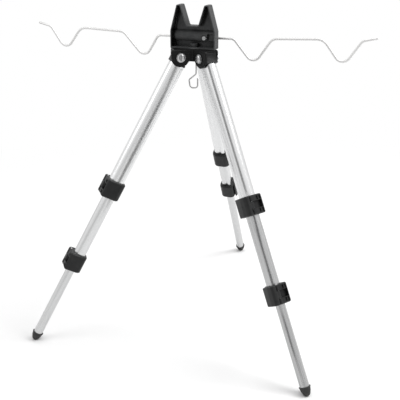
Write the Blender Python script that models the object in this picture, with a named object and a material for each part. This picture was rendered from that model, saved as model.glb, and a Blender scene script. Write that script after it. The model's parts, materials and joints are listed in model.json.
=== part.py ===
"""Rod rest: a small head on three folding telescopic legs, with a notched plate and two bent wire arms.

The frame has +Z up and +Y away from the front, with its origin on the ground under the middle of the whole.
"""

import bpy
import bmesh
from math import asin, atan2, ceil, cos, degrees, hypot, pi, radians, sin, sqrt, tan
from mathutils import Matrix, Vector

MM = 0.001

# Clearances
GAP = 0.3 * MM

# Leg tubes: the upper one grips its lock, the next slides in it, and the lower one slides in that
TUBE_LENGTH = 176.5 * MM
UPPER_TOP = 9.6 * MM
MIDDLE_OUT = {"rear": 72.2 * MM, "left": 112.2 * MM, "right": 112.2 * MM}
LOWER_KEPT_IN = 12.3 * MM
UPPER_HALF_WIDTH = 8.5 * MM
UPPER_ARC_CENTRE = 2.1 * MM
UPPER_WALL = 0.9 * MM
MIDDLE_ARC_CENTRE = 0.4 * MM
MIDDLE_GAP = 0.35 * MM
MIDDLE_WALL = 0.8 * MM
LOWER_CENTRE = 0.48 * MM
LOWER_GAP = 0.4 * MM
LOWER_WALL = 0.8 * MM
LOBE_RADIUS = 4.3 * MM
GROOVE_RADIUS = 4.5 * MM

MIDDLE_INSET = UPPER_WALL + MIDDLE_GAP
LOWER_RADIUS = UPPER_HALF_WIDTH - MIDDLE_INSET - MIDDLE_WALL - LOWER_GAP
LOBE_SIDE = UPPER_HALF_WIDTH - LOBE_RADIUS
GROOVE_CENTRE = LOWER_CENTRE - LOWER_RADIUS - GAP - MIDDLE_INSET - MIDDLE_WALL - GROOVE_RADIUS
LOBE_CENTRE = GROOVE_CENTRE + sqrt((LOBE_RADIUS + GROOVE_RADIUS) ** 2 - LOBE_SIDE ** 2)

# Lock collars and their levers
COLLAR_LENGTH = 24.5 * MM
COLLAR_SIDE_WALL = 3.1 * MM
COLLAR_INNER_WALL = 3.4 * MM
COLLAR_OUTER_WALL = 2.8 * MM
COLLAR_ROUND = 7.0 * MM
COLLAR_EDGE = 1.2 * MM
TUBE_STOP = 0.35 * MM
LOWER_COLLAR_SCALE = 0.92
PIN_X = 5.6 * MM
PIN_INSET = 1.8 * MM
PIN_RADIUS = 1.1 * MM
PIN_GAP = 0.15 * MM
PIN_PROUD = 1.6 * MM
LUG_WALL = 1.3 * MM
SLOT_HALF = 4.7 * MM
SLOT_RIGHT = -9.0 * MM
SLOT_DEPTH = 4.2 * MM
POCKET_DEPTH = 1.4 * MM
POCKET_WIDTH = 3.4 * MM
POCKET_WALL = 2.05 * MM
POCKET_RIB = 0.8 * MM
LEVER_SHORTER = 0.25 * MM
LEVER_EDGE = 0.9 * MM
LEVER_GAP = 0.4 * MM
LEVER_PROUD = 4.5 * MM
LEVER_END = -7.0 * MM
CAM_HUB = 2.6 * MM

COLLAR_SIDE = UPPER_HALF_WIDTH + COLLAR_SIDE_WALL
COLLAR_INSIDE = LOBE_RADIUS - LOBE_CENTRE + COLLAR_INNER_WALL
COLLAR_OUTSIDE = UPPER_ARC_CENTRE + UPPER_HALF_WIDTH + COLLAR_OUTER_WALL
POCKET_HEIGHT = COLLAR_LENGTH / 2 - SLOT_HALF - POCKET_RIB - POCKET_WALL
LUG_RADIUS = PIN_RADIUS + LUG_WALL
PIN_Y = COLLAR_OUTSIDE - PIN_INSET
TUBE_GRIP = COLLAR_LENGTH / 2 - SLOT_HALF - TUBE_STOP

# Feet
FOOT_BALL = 5.0 * MM
FOOT_FLAT = 0.8 * MM
FOOT_DROP = 3.9 * MM
FOOT_LIP = 1.25 * MM
FOOT_RIM_RISE = 3.3 * MM
FOOT_SPIGOT = 8.0 * MM

# Leg pivots. The legs stand at their splay, so the pivots' height follows from the length of a leg
PIVOT_RADIUS = 24.0 * MM
SPLAY = radians(29.4)
LEG_INSET = 3.2 * MM
FRONT_SPREAD = 54.4
LEG_AZIMUTHS = {"rear": 90.0, "left": 270.0 - FRONT_SPREAD, "right": 270.0 + FRONT_SPREAD}

UPPER_END = UPPER_TOP + TUBE_LENGTH
UPPER_COLLAR_AT = UPPER_END + COLLAR_LENGTH / 2 - TUBE_GRIP
LOWER_COLLAR_AT = {leg: UPPER_COLLAR_AT + out for leg, out in MIDDLE_OUT.items()}
MIDDLE_END = {leg: at - COLLAR_LENGTH / 2 + TUBE_GRIP for leg, at in LOWER_COLLAR_AT.items()}
LOWER_END = min(MIDDLE_END.values()) - LOWER_KEPT_IN + TUBE_LENGTH
FOOT_STAND = FOOT_BALL - FOOT_FLAT
PIVOT_HEIGHT = (LOWER_END + FOOT_DROP) * cos(SPLAY) - (LOWER_CENTRE - LEG_INSET) * sin(SPLAY) + FOOT_STAND

# Head base, its heights taken from the pivots
BASE_RISE = 9.7 * MM
BASE_DROP = 5.2 * MM
BASE_CORE = 16.0 * MM
SLOT_END_GAP = 0.4 * MM
ROOF = 2.2 * MM
NEAR_CHEEK = 3.6 * MM
FAR_CHEEK = 2.6 * MM
NEAR_CHEEK_RADIUS = 12.0 * MM
FAR_CHEEK_RADIUS = 7.0 * MM
CHEEK_EDGE = 0.8 * MM
CHEEK_RELIEF = 0.2 * MM
CHEEK_ROOT = 6.0 * MM
RECESS_RADIUS = 4.6 * MM
RECESS_RISE = 5.0 * MM
EYE_Y = -8.5 * MM

SLOT_WIDTH = 2 * (UPPER_HALF_WIDTH + GAP)

# Knuckles, bolts and nuts
KNUCKLE_RADIUS = 7.2 * MM
KNUCKLE_HEEL = 7.0 * MM
KNUCKLE_FRONT = 7.2 * MM
KNUCKLE_NECK = 6.3 * MM
PLUG_END = 30.0 * MM
BOLT_RADIUS = 2.7 * MM
BOLT_FLANGE = 3.1 * MM
BOLT_FLANGE_HEIGHT = 0.8 * MM
BOLT_HEAD = 2.3 * MM
BOLT_HEAD_HEIGHT = 2.6 * MM
BOLT_SLOT_WIDTH = 1.2 * MM
BOLT_SLOT_DEPTH = 1.3 * MM
NUT_WALL = 1.3 * MM
NUT_THICKNESS = 2.8 * MM
NUT_BACK = 0.4 * MM

KNUCKLE_BACK = LEG_INSET - LOBE_CENTRE + LOBE_RADIUS - 0.2 * MM
SLOT_INNER = PIVOT_RADIUS - KNUCKLE_RADIUS - SLOT_END_GAP

# Notched plate, its heights taken from its underside
PLATE_FRONT = -16.0 * MM
PLATE_BACK = -1.0 * MM
PLATE_HALF = 29.25 * MM
PLATE_SHOULDER = 21.5 * MM
PLATE_TOP = 53.0 * MM
PRONG_TOP = 5.2 * MM
NOTCH_HALF = 7.55 * MM
NOTCH_SLANT = 7.9 * MM
NOTCH_FLOOR = 28.3 * MM
PLATE_RIM = 1.3 * MM
PLATE_FLOOR = 2.3 * MM
PLATE_WEB = 3.0 * MM
PLATE_FILLET = 0.7 * MM
BAR_BOTTOM = 8.5 * MM
BAR_TOP = 22.0 * MM
BAR_PROUD = 5.5 * MM
CLAMP_X = 13.5 * MM
CLAMP_RADIUS = 1.35 * MM
CLAMP_HEAD = 2.9 * MM
CLAMP_HEAD_HEIGHT = 2.2 * MM
CLAMP_SLOT = 0.9 * MM
CLAMP_SEAT_GAP = 0.7 * MM
CLAMP_SEAT_DEPTH = 0.6 * MM
CLAMP_BOSS_WALL = 1.3 * MM
CLAMP_BOSS_HEIGHT = 2.0 * MM
WELL_X = 17.0 * MM
WELL_WIDTH = 8.5 * MM
WELL_RISE = 7.8 * MM
WELL_HEIGHT = 10.7 * MM
WELL_DEPTH = 2.9 * MM

# Wire arms
WIRE_RADIUS = 1.5 * MM
WIRE_BORE_GAP = 0.2 * MM
WIRE_Y = -4.2 * MM
WIRE_RISE = 13.2 * MM
WIRE_START = 7.0 * MM
ARM_CORNERS = (
    (50.0, 0.3), (72.4, -30.6), (98.7, 2.5), (159.8, 5.0), (184.0, -26.7), (205.0, 4.9), (222.5, 9.2),
)
ARM_BENDS = (8.0, 9.7, 11.0, 15.0, 9.7, 8.0, 0.0)
DIP_SHIFT = {"left": -3.4, "right": 3.4}

# Hook and its eye
EYE_WIRE = 0.9 * MM
EYE_RING = 3.0 * MM
EYE_RISE = 0.6 * MM
EYE_SHANK = 2.0 * MM
EYE_FLANGE = 1.5 * MM
EYE_FLANGE_HEIGHT = 0.8 * MM
EYE_BOSS_WALL = 2.5 * MM
EYE_BOSS_TOP = 6.5 * MM
EYE_BOSS_ROOF = 1.3 * MM
HOOK_WIRE = 0.9 * MM
HOOK_LOOP = 2.4 * MM
HOOK_BENDS = ((2.4, -19.6, 3.0), (-7.2, -27.4, 2.5), (-5.8, -38.2, 4.5), (4.4, -37.0, 4.0), (4.4, -25.0, 0.0))

# Bushes at the tops of the inner tubes
BUSH_FLANGE = 4.0 * MM
BUSH_SPIGOT = 8.0 * MM

# Heights and seats that more than one piece uses
BASE_TOP = PIVOT_HEIGHT + BASE_RISE
PLATE_Z = BASE_TOP + GAP
PLATE_WEB_FRONT = PLATE_BACK - PLATE_WEB
BAR_FRONT = PLATE_WEB_FRONT - BAR_PROUD
WIRE_Z = PLATE_Z + WIRE_RISE
EYE_CENTRE = PIVOT_HEIGHT + EYE_RISE
FRONT_CLAMP_SEAT = BAR_FRONT + CLAMP_SEAT_DEPTH
BACK_CLAMP_SEAT = PLATE_BACK + CLAMP_BOSS_HEIGHT


def arc(centre, radius, start, end, steps):
    """Points along an arc, angles in degrees."""
    turns = [radians(start + (end - start) * i / steps) for i in range(steps + 1)]
    return [(centre[0] + radius * cos(a), centre[1] + radius * sin(a)) for a in turns]


def rounded(corners, radii, closed=True, step=30.0):
    """Line through corners, each one replaced by an arc of its own radius."""
    count = len(corners)
    points = []
    for i, (corner, radius) in enumerate(zip(corners, radii)):
        if radius == 0 or (not closed and i in (0, count - 1)):
            points.append(tuple(corner))
            continue
        here = Vector(corner)
        back = (Vector(corners[i - 1]) - here).normalized()
        ahead = (Vector(corners[(i + 1) % count]) - here).normalized()
        half = back.angle(ahead) / 2
        centre = here + (back + ahead).normalized() * (radius / sin(half))
        first = here + back * (radius / tan(half)) - centre
        last = here + ahead * (radius / tan(half)) - centre
        turn = atan2(first.x * last.y - first.y * last.x, first.dot(last))
        steps = max(1, ceil(abs(degrees(turn)) / step))
        for k in range(steps + 1):
            a = turn * k / steps
            points.append((centre.x + first.x * cos(a) - first.y * sin(a),
                           centre.y + first.x * sin(a) + first.y * cos(a)))
    return points


def inset(points, distance):
    """Closed counterclockwise outline with every side moved inwards."""
    moved = []
    for i, point in enumerate(points):
        before = (Vector(point) - Vector(points[i - 1])).normalized()
        after = (Vector(points[(i + 1) % len(points)]) - Vector(point)).normalized()
        n1 = Vector((-before.y, before.x))
        n2 = Vector((-after.y, after.x))
        moved.append(tuple(Vector(point) + (n1 + n2) * (distance / (1 + n1.dot(n2)))))
    return moved


def mesh_of(points, faces):
    """Mesh with its faces turned outwards."""
    mesh = bpy.data.meshes.new("shape")
    mesh.from_pydata([tuple(p) for p in points], [], faces)
    work = bmesh.new()
    work.from_mesh(mesh)
    bmesh.ops.recalc_face_normals(work, faces=work.faces)
    work.to_mesh(mesh)
    work.free()
    return mesh


def loft(rings):
    """Solid through rings of equal length, flat at both ends."""
    count = len(rings[0])
    faces = [tuple(reversed(range(count)))]
    for level in range(len(rings) - 1):
        a, b = level * count, (level + 1) * count
        faces += [(a + i, a + (i + 1) % count, b + (i + 1) % count, b + i) for i in range(count)]
    last = (len(rings) - 1) * count
    faces.append(tuple(last + i for i in range(count)))
    return mesh_of([p for ring in rings for p in ring], faces)


def prism(outline, levels, axis="Z"):
    """Solid along an axis through (position, inset) levels of one outline."""
    rings = []
    for position, depth in levels:
        ring = inset(outline, depth) if depth else outline
        if axis == "Z":
            rings.append([(a, b, position) for a, b in ring])
        elif axis == "Y":
            rings.append([(a, position, b) for a, b in ring])
        else:
            rings.append([(position, a, b) for a, b in ring])
    return loft(rings)


def eased(bottom, top, edge, steps=1):
    """Levels of a prism whose two end edges are rounded."""
    turns = [pi / 2 * k / steps for k in range(steps + 1)]
    low = [(bottom + edge * (1 - sin(a)), edge * (1 - cos(a))) for a in reversed(turns)]
    high = [(top - edge * (1 - sin(a)), edge * (1 - cos(a))) for a in turns]
    return low + high


def box(low, high):
    """Block between two corners."""
    outline = [(low[0], low[1]), (high[0], low[1]), (high[0], high[1]), (low[0], high[1])]
    return prism(outline, [(low[2], 0), (high[2], 0)])


def turned(profile, sides):
    """Solid of revolution about Z from (radius, height) points."""
    points, rows = [], []
    for radius, height in profile:
        if radius == 0:
            rows.append([len(points)] * sides)
            points.append((0, 0, height))
        else:
            rows.append([len(points) + k for k in range(sides)])
            points += [(radius * cos(2 * pi * k / sides), radius * sin(2 * pi * k / sides), height)
                       for k in range(sides)]
    faces = []
    for lower, upper in zip(rows, rows[1:]):
        for k in range(sides):
            j = (k + 1) % sides
            face = list(dict.fromkeys((lower[k], lower[j], upper[j], upper[k])))
            if len(face) > 2:
                faces.append(face)
    return mesh_of(points, faces)


def rod(radius, start, end, sides=20, axis="Z", centre=(0, 0)):
    """Round bar along an axis, its centre given by the other two coordinates in order."""
    outline = arc(centre, radius, 0, 360 * (1 - 1 / sides), sides - 1)
    return prism(outline, [(start, 0), (end, 0)], axis)


def sleeve(outer, inner, bottom, top):
    """Tube between two outlines of equal length."""
    count = len(outer)
    points = [(x, y, z) for z in (bottom, top) for ring in (outer, inner) for x, y in ring]
    faces = []
    for i in range(count):
        j = (i + 1) % count
        a, b, c, d = 0, count, 2 * count, 3 * count
        faces += [(a + i, a + j, c + j, c + i), (b + i, d + i, d + j, b + j),
                  (a + i, b + i, b + j, a + j), (c + i, c + j, d + j, d + i)]
    return mesh_of(points, faces)


def bent_wire(path, radius, sides):
    """Round wire along a flat path in X and Z, its ends eased."""
    path = [Vector(p) for p in path]
    start = (path[1] - path[0]).normalized() * radius * 0.4
    end = (path[-2] - path[-1]).normalized() * radius * 0.4
    stations = [(path[0], 0.6), (path[0] + start, 1)] + [(p, 1) for p in path[1:-1]]
    stations += [(path[-1] + end, 1), (path[-1], 0.6)]
    rings = []
    for i, (point, share) in enumerate(stations):
        before = stations[max(i - 1, 0)][0]
        after = stations[min(i + 1, len(stations) - 1)][0]
        along = ((point - before).normalized() + (after - point).normalized()).normalized()
        ring = []
        for k in range(sides):
            a = 2 * pi * k / sides
            across = radius * share * cos(a)
            height = radius * share * sin(a)
            ring.append((point.x - along.y * across, height, point.y + along.x * across))
        rings.append(ring)
    return loft(rings)


def combine(body, operation, *others):
    """Body joined with the other shapes, or cut by them."""
    holder = bpy.data.objects.new("holder", body)
    bpy.context.collection.objects.link(holder)
    helpers = []
    for mesh in others:
        helper = bpy.data.objects.new("helper", mesh)
        helper.hide_render = True
        helper.display_type = "WIRE"
        bpy.context.collection.objects.link(helper)
        helpers.append(helper)
        modifier = holder.modifiers.new("step", "BOOLEAN")
        modifier.operation = operation
        modifier.solver = "EXACT"
        modifier.object = helper
    bpy.context.view_layer.update()
    view = bpy.context.evaluated_depsgraph_get()
    result = bpy.data.meshes.new_from_object(holder.evaluated_get(view))
    for item in [holder] + helpers:
        bpy.data.objects.remove(item)
    work = bmesh.new()
    work.from_mesh(result)
    bmesh.ops.remove_doubles(work, verts=work.verts, dist=0.001 * MM)
    bmesh.ops.dissolve_degenerate(work, dist=0.001 * MM, edges=work.edges)
    work.to_mesh(result)
    work.free()
    return result


def moved(mesh, x=0.0, y=0.0, z=0.0, turn=0.0):
    """Copy of a mesh turned about Z in degrees and then shifted."""
    copy = mesh.copy()
    copy.transform(Matrix.Translation((x, y, z)) @ Matrix.Rotation(radians(turn), 4, "Z"))
    return copy


def finish(name, colour, roughness, metallic=0.0):
    """Plain surface of one colour."""
    material = bpy.data.materials.new(name)
    material.use_nodes = True
    surface = material.node_tree.nodes["Principled BSDF"]
    surface.inputs["Base Color"].default_value = (*colour, 1)
    surface.inputs["Roughness"].default_value = roughness
    surface.inputs["Metallic"].default_value = metallic
    return material


def place(name, mesh, look, parent=None, at=(0, 0, 0), turn=0.0):
    """Named object of its own, shaded smooth between sharp edges."""
    colour, roughness, metallic = look
    if mesh.users:
        mesh = mesh.copy()
    mesh.materials.clear()
    mesh.materials.append(finish(name, colour, roughness, metallic))
    mesh.shade_smooth()
    mesh.set_sharp_from_angle(angle=radians(32))
    item = bpy.data.objects.new(name, mesh)
    bpy.context.collection.objects.link(item)
    item.parent = parent
    item.location = at
    item.rotation_euler = (0, 0, turn)
    return item


def empty(name, at, rotation=(0, 0, 0)):
    """Empty that carries one leg."""
    item = bpy.data.objects.new(name, None)
    bpy.context.collection.objects.link(item)
    item.location = at
    item.rotation_euler = rotation
    return item


def tube_outline(depth, centre):
    """Section of a leg tube: a round outer side, and two lobes with a groove between them inside."""
    half = UPPER_HALF_WIDTH - depth
    lobe = LOBE_RADIUS - depth
    groove = GROOVE_RADIUS + depth
    meet = degrees(atan2(LOBE_CENTRE - GROOVE_CENTRE, LOBE_SIDE))
    points = arc((0, centre), half, 0, 180, 8)
    points += arc((-LOBE_SIDE, LOBE_CENTRE), lobe, 180, 360 - meet, 3)
    points += arc((0, GROOVE_CENTRE), groove, 180 - meet, meet, 3)[1:-1]
    points += arc((LOBE_SIDE, LOBE_CENTRE), lobe, 180 + meet, 360, 3)
    return points


def round_outline(radius, centre, sides=18):
    """Section of the round lower tube, centred a little outwards."""
    return arc((0, centre), radius, 0, 360 * (1 - 1 / sides), sides - 1)


def upper_outline(depth=0.0):
    return tube_outline(depth, UPPER_ARC_CENTRE)


def middle_outline(depth=0.0):
    return tube_outline(MIDDLE_INSET + depth, MIDDLE_ARC_CENTRE)


def lower_outline(depth=0.0):
    return round_outline(LOWER_RADIUS - depth, LOWER_CENTRE)


def collar_outline(scale):
    """Section of a lock collar, with the lug that carries the lever's pin."""
    side, back, front = COLLAR_SIDE * scale, -COLLAR_INSIDE * scale, COLLAR_OUTSIDE * scale
    pin = (PIN_X * scale, PIN_Y * scale)
    corners = [(-side, back), (side, back), (side, 0.62 * front), (pin[0] + LUG_RADIUS, 0.8 * front)]
    start = rounded(corners, (0, COLLAR_ROUND * scale, 2.0 * MM, 0.6 * MM), closed=False)[1:-1]
    lug = arc(pin, LUG_RADIUS, -20, 90, 3)
    corners = [(pin[0], front), (-side, front), (-side, back), (side, back)]
    end = rounded(corners, (0, 3.0 * MM, COLLAR_ROUND * scale, 0), closed=False)[1:-1]
    return start + lug + [(pin[0] - 1.6 * MM, front)] + end


def make_collar(scale, carrier, inner, reach):
    """Lock collar gripping the carrier tube's end, with the cam slot, the pin hole and four pockets."""
    half = COLLAR_LENGTH / 2
    pin = (PIN_X * scale, PIN_Y * scale)
    front = COLLAR_OUTSIDE * scale
    beyond = COLLAR_LENGTH
    ledge = half - TUBE_GRIP - GAP
    slot_floor = front - SLOT_DEPTH
    cuts = [
        prism(carrier, [(ledge, 0), (beyond, 0)]),
        prism(inner, [(-beyond, 0), (beyond, 0)]),
        rod(PIN_RADIUS + PIN_GAP, -beyond, beyond, 8, "Z", pin),
        rod(reach + GAP, -SLOT_HALF, SLOT_HALF, 12, "Z", pin),
        box((SLOT_RIGHT * scale, slot_floor, -SLOT_HALF), (pin[0], beyond, SLOT_HALF)),
        box((pin[0], 0.55 * front, -SLOT_HALF), (beyond, beyond, SLOT_HALF)),
    ]
    for column in range(2):
        x = SLOT_RIGHT * scale + POCKET_RIB / 2 + column * (POCKET_WIDTH * scale + POCKET_RIB)
        for z in (SLOT_HALF + POCKET_RIB, -SLOT_HALF - POCKET_RIB - POCKET_HEIGHT):
            low = (x, front - POCKET_DEPTH, z)
            cuts.append(box(low, (x + POCKET_WIDTH * scale, beyond, z + POCKET_HEIGHT)))
    return combine(prism(collar_outline(scale), eased(-half, half, COLLAR_EDGE)), "DIFFERENCE", *cuts)


def make_lever(scale, reach, toward):
    """Lock lever about its own pin: cam, web and the plate that wraps the collar's corner."""
    px, py = PIN_X * scale, PIN_Y * scale
    inner = COLLAR_SIDE * scale + LEVER_GAP
    outer = (COLLAR_SIDE + LEVER_PROUD) * scale
    top = COLLAR_OUTSIDE * scale
    low = LEVER_END * scale
    near = px + LUG_RADIUS + 2 * GAP
    corners = [
        (inner + 0.7 * MM, low), (outer - 0.7 * MM, low), (outer, 0.3 * top),
        (outer - 0.6 * MM, 0.76 * top), (0.9 * outer, 0.94 * top), (0.72 * outer, top + 0.7 * MM),
        (near, top + 0.9 * MM), (near, 0.86 * top),
        (0.94 * inner, 0.76 * top), (inner, 0.58 * top), (inner, 0),
    ]
    radii = (0.8, 1.2, 6.0, 2.5, 2.5, 2.5, 0.7, 0.3, 1.0, 1.5, 5.0)
    outline = rounded(corners, [r * MM for r in radii], step=45)
    tall = COLLAR_LENGTH / 2 - LEVER_SHORTER
    plate = prism([(x - px, y - py) for x, y in outline], eased(-tall, tall, LEVER_EDGE))
    half = SLOT_HALF - GAP
    nose = [(0, -CAM_HUB), (reach, -1.7 * MM), (reach, 1.7 * MM), (0, CAM_HUB)]
    nose = rounded(nose, [0.5 * MM, 1.6 * MM, 1.6 * MM, 0.5 * MM], step=45)
    nose = prism(nose, [(-half + 0.05 * MM, 0), (half - 0.05 * MM, 0)])
    nose = moved(nose, turn=degrees(toward))
    foot = near - px + 1.2 * MM
    web = prism([(0, -2.0 * MM), (foot, -0.6 * MM), (foot, 2.2 * MM), (0, 2.3 * MM)],
                [(-half + 0.1 * MM, 0), (half - 0.1 * MM, 0)])
    joined = combine(rod(CAM_HUB, -half, half, 10), "UNION", nose, web, plate)
    return combine(joined, "DIFFERENCE", rod(PIN_RADIUS + PIN_GAP, -half - MM, half + MM, 8))


def make_knuckle():
    """Block that turns on the pivot bolt and plugs the top of the upper tube."""
    cs, sn = cos(SPLAY), sin(SPLAY)

    def tilt(out, up):
        """Point beside the pivot, seen in the leg's own frame."""
        return (out * cs + up * sn, -out * sn + up * cs)

    up_angle = 90 - degrees(SPLAY)
    corner = tilt(KNUCKLE_HEEL, KNUCKLE_FRONT)
    drop = (KNUCKLE_FRONT + 0.2 * MM - KNUCKLE_HEEL * cs) / sn
    shoulder = tilt(KNUCKLE_HEEL, drop)
    bottom = -UPPER_TOP + GAP
    outline = arc((0, 0), KNUCKLE_RADIUS, up_angle, 180, 6)
    outline += [(-KNUCKLE_RADIUS, -KNUCKLE_NECK + 0.4 * MM), (-KNUCKLE_BACK + 0.8 * MM, -KNUCKLE_NECK),
                (-KNUCKLE_BACK, -KNUCKLE_NECK - 0.6 * MM), (-KNUCKLE_BACK, bottom), (shoulder[0], bottom)]
    outline += [shoulder]
    outline += rounded([shoulder, corner, outline[0]], (0, 0.8 * MM, 0), closed=False)[1:-1]
    half = SLOT_WIDTH / 2 - GAP - 0.1 * MM
    block = prism(outline, eased(-half, half, 0.5 * MM, 1), "X")
    plug = [(x, y - LEG_INSET) for x, y in upper_outline(UPPER_WALL + GAP)]
    plug = prism(plug, [(-PLUG_END, 0.8 * MM), (-PLUG_END + 1.5 * MM, 0), (bottom + 1.2 * MM, 0)])
    joined = combine(block, "UNION", plug)
    return combine(joined, "DIFFERENCE", rod(BOLT_RADIUS + GAP, -SLOT_WIDTH, SLOT_WIDTH, 12, "X"))


def make_lobe():
    """Fork arm of the head with its pivot holes, along +Y, its longer cheek at +X."""
    half = SLOT_WIDTH / 2
    reach = PIVOT_RADIUS + KNUCKLE_HEEL
    side = half + 3 * CHEEK_RELIEF
    block = box((-side, 0, -BASE_DROP), (side, reach, BASE_RISE))
    cheeks = []
    for radius, thickness, sign in ((NEAR_CHEEK_RADIUS, NEAR_CHEEK, 1), (FAR_CHEEK_RADIUS, FAR_CHEEK, -1)):
        first = -180 + degrees(asin(BASE_DROP / radius))
        top = [(PIVOT_RADIUS + radius, 0), (PIVOT_RADIUS + radius, BASE_RISE), (CHEEK_ROOT, BASE_RISE)]
        outline = arc((PIVOT_RADIUS, 0), radius, first, 0, 6)
        outline += rounded(top, (0, 2.5 * MM, 0), closed=False)[1:]
        outline += [(CHEEK_ROOT, -BASE_DROP)]
        face = half + thickness
        levels = [(half + CHEEK_RELIEF, 0), (face - CHEEK_EDGE, 0), (face, CHEEK_EDGE)]
        cheeks.append(prism(outline, [(sign * x, d) for x, d in levels], "X"))
    lobe = combine(block, "UNION", *cheeks)
    slot = box((-half, SLOT_INNER, -2 * reach), (half, 2 * reach, BASE_RISE - ROOF))
    hole = rod(BOLT_RADIUS + GAP, -SLOT_WIDTH, SLOT_WIDTH, 12, "X", (PIVOT_RADIUS, 0))
    return lobe, slot, hole


def make_base():
    """Head base: three forks round a core with the recess and the bore of the hook's eye."""
    body = rod(BASE_CORE, -BASE_DROP, BASE_RISE, 20)
    cuts = []
    for leg, azimuth in LEG_AZIMUTHS.items():
        lobe, slot, hole = make_lobe()
        if leg == "left":
            for shape in (lobe, slot, hole):
                shape.transform(Matrix.Scale(-1, 4, (1, 0, 0)))
                shape.flip_normals()
        body = combine(body, "UNION", moved(lobe, turn=azimuth - 90))
        cuts += [moved(shape, turn=azimuth - 90) for shape in (slot, hole)]
    cuts.append(rod(RECESS_RADIUS, -2 * BASE_DROP, RECESS_RISE, 14, "Z", (0, EYE_Y)))
    cuts.append(rod(EYE_SHANK + GAP, 0, 2 * BASE_RISE, 12, "Z", (0, EYE_Y)))
    return combine(body, "DIFFERENCE", *cuts)


def make_plate():
    """Notched plate on its underside: a shallow tray open to the front, with a bored bar for the arms."""
    slant_top = NOTCH_HALF + NOTCH_SLANT
    half_plate = [
        (PLATE_HALF, 0), (PLATE_HALF, PLATE_SHOULDER), (slant_top + PRONG_TOP, PLATE_TOP),
        (slant_top, PLATE_TOP), (NOTCH_HALF, NOTCH_FLOOR),
    ]
    corners = half_plate + [(-x, z) for x, z in reversed(half_plate)]
    radii = (1.0, 4.0, 1.5, 1.5, 2.0, 2.0, 1.5, 1.5, 4.0, 1.0)
    body = rounded(corners, [r * MM for r in radii])
    body = prism(body, eased(PLATE_FRONT, PLATE_BACK, 0.4 * MM), "Y")
    inner = inset(corners, PLATE_RIM)
    inner[0] = (inner[0][0], PLATE_FLOOR)
    inner[-1] = (inner[-1][0], PLATE_FLOOR)
    radii = (1.0, 4.0, 0.9, 0.9, 2.0, 2.0, 0.9, 0.9, 4.0, 1.0)
    inner = rounded(inner, [r * MM for r in radii])
    beyond = PLATE_FRONT - PLATE_RIM
    levels = [(beyond, 0), (PLATE_WEB_FRONT - PLATE_FILLET, 0), (PLATE_WEB_FRONT, PLATE_FILLET)]
    body = combine(body, "DIFFERENCE", prism(inner, levels, "Y"))
    middle = (BAR_TOP + BAR_BOTTOM) / 2
    half_height = (BAR_TOP - BAR_BOTTOM) / 2
    turns = [pi * k / 8 for k in range(9)]
    root = PLATE_WEB_FRONT + PLATE_WEB / 2
    section = [(PLATE_WEB_FRONT - BAR_PROUD * sin(a), middle - half_height * cos(a)) for a in turns]
    section = [(root, BAR_BOTTOM)] + section + [(root, BAR_TOP)]
    end = PLATE_HALF - PLATE_RIM / 2
    bar = prism(section, [(-end, 0), (end, 0)], "X")
    boss = rod(EYE_SHANK + GAP + EYE_BOSS_WALL, PLATE_FLOOR / 2, EYE_BOSS_TOP, 14, "Z", (0, EYE_Y))
    clamp_boss = CLAMP_RADIUS + GAP + 2 * CLAMP_BOSS_WALL
    back_boss = rod(clamp_boss, PLATE_BACK - PLATE_WEB / 2, BACK_CLAMP_SEAT, 16, "Y", (-CLAMP_X, WIRE_RISE))
    body = combine(body, "UNION", bar, boss, back_boss)
    bore = WIRE_RADIUS + WIRE_BORE_GAP
    wire = (WIRE_Y, WIRE_RISE)
    bore_start = WIRE_START - GAP
    well = [(WELL_X, WELL_RISE), (WELL_X + WELL_WIDTH, WELL_RISE)]
    well += [(x, z + WELL_HEIGHT) for x, z in reversed(well)]
    well = rounded(well, [1.2 * MM] * 4)
    cuts = [
        rod(bore, bore_start, 2 * PLATE_HALF, 12, "X", wire),
        rod(bore, -2 * PLATE_HALF, -bore_start, 12, "X", wire),
        rod(CLAMP_HEAD + CLAMP_SEAT_GAP, beyond, FRONT_CLAMP_SEAT, 14, "Y", (CLAMP_X, WIRE_RISE)),
        rod(CLAMP_RADIUS + GAP, beyond, WIRE_Y, 10, "Y", (CLAMP_X, WIRE_RISE)),
        rod(CLAMP_RADIUS + GAP, WIRE_Y, -beyond, 10, "Y", (-CLAMP_X, WIRE_RISE)),
        prism(well, [(beyond, 0), (BAR_FRONT + WELL_DEPTH, 0)], "Y"),
        rod(EYE_SHANK + GAP, -PLATE_FLOOR, EYE_BOSS_TOP - EYE_BOSS_ROOF, 12, "Z", (0, EYE_Y)),
    ]
    return combine(body, "DIFFERENCE", *cuts)


def make_bolt():
    """Pivot bolt along X, its slotted head at +X."""
    start = SLOT_WIDTH / 2 + NEAR_CHEEK + GAP
    tail = -SLOT_WIDTH / 2 - FAR_CHEEK - GAP - NUT_THICKNESS - NUT_BACK
    flange = BOLT_RADIUS + BOLT_FLANGE
    head = BOLT_RADIUS + BOLT_HEAD
    under = start + BOLT_FLANGE_HEIGHT
    top = under + BOLT_HEAD_HEIGHT
    profile = [
        (0, tail), (BOLT_RADIUS - 0.4 * MM, tail), (BOLT_RADIUS, tail + 0.4 * MM), (BOLT_RADIUS, start),
        (flange, start), (flange, under), (head, under),
        (head, top - 1.2 * MM), (0.85 * head, top - 0.4 * MM), (0.6 * head, top), (0, top),
    ]
    slot = box((-2 * head, -BOLT_SLOT_WIDTH / 2, top - BOLT_SLOT_DEPTH),
               (2 * head, BOLT_SLOT_WIDTH / 2, 2 * top))
    bolt = combine(turned(profile, 12), "DIFFERENCE", slot)
    bolt.transform(Matrix.Rotation(pi / 2, 4, "Y"))
    return bolt


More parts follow.
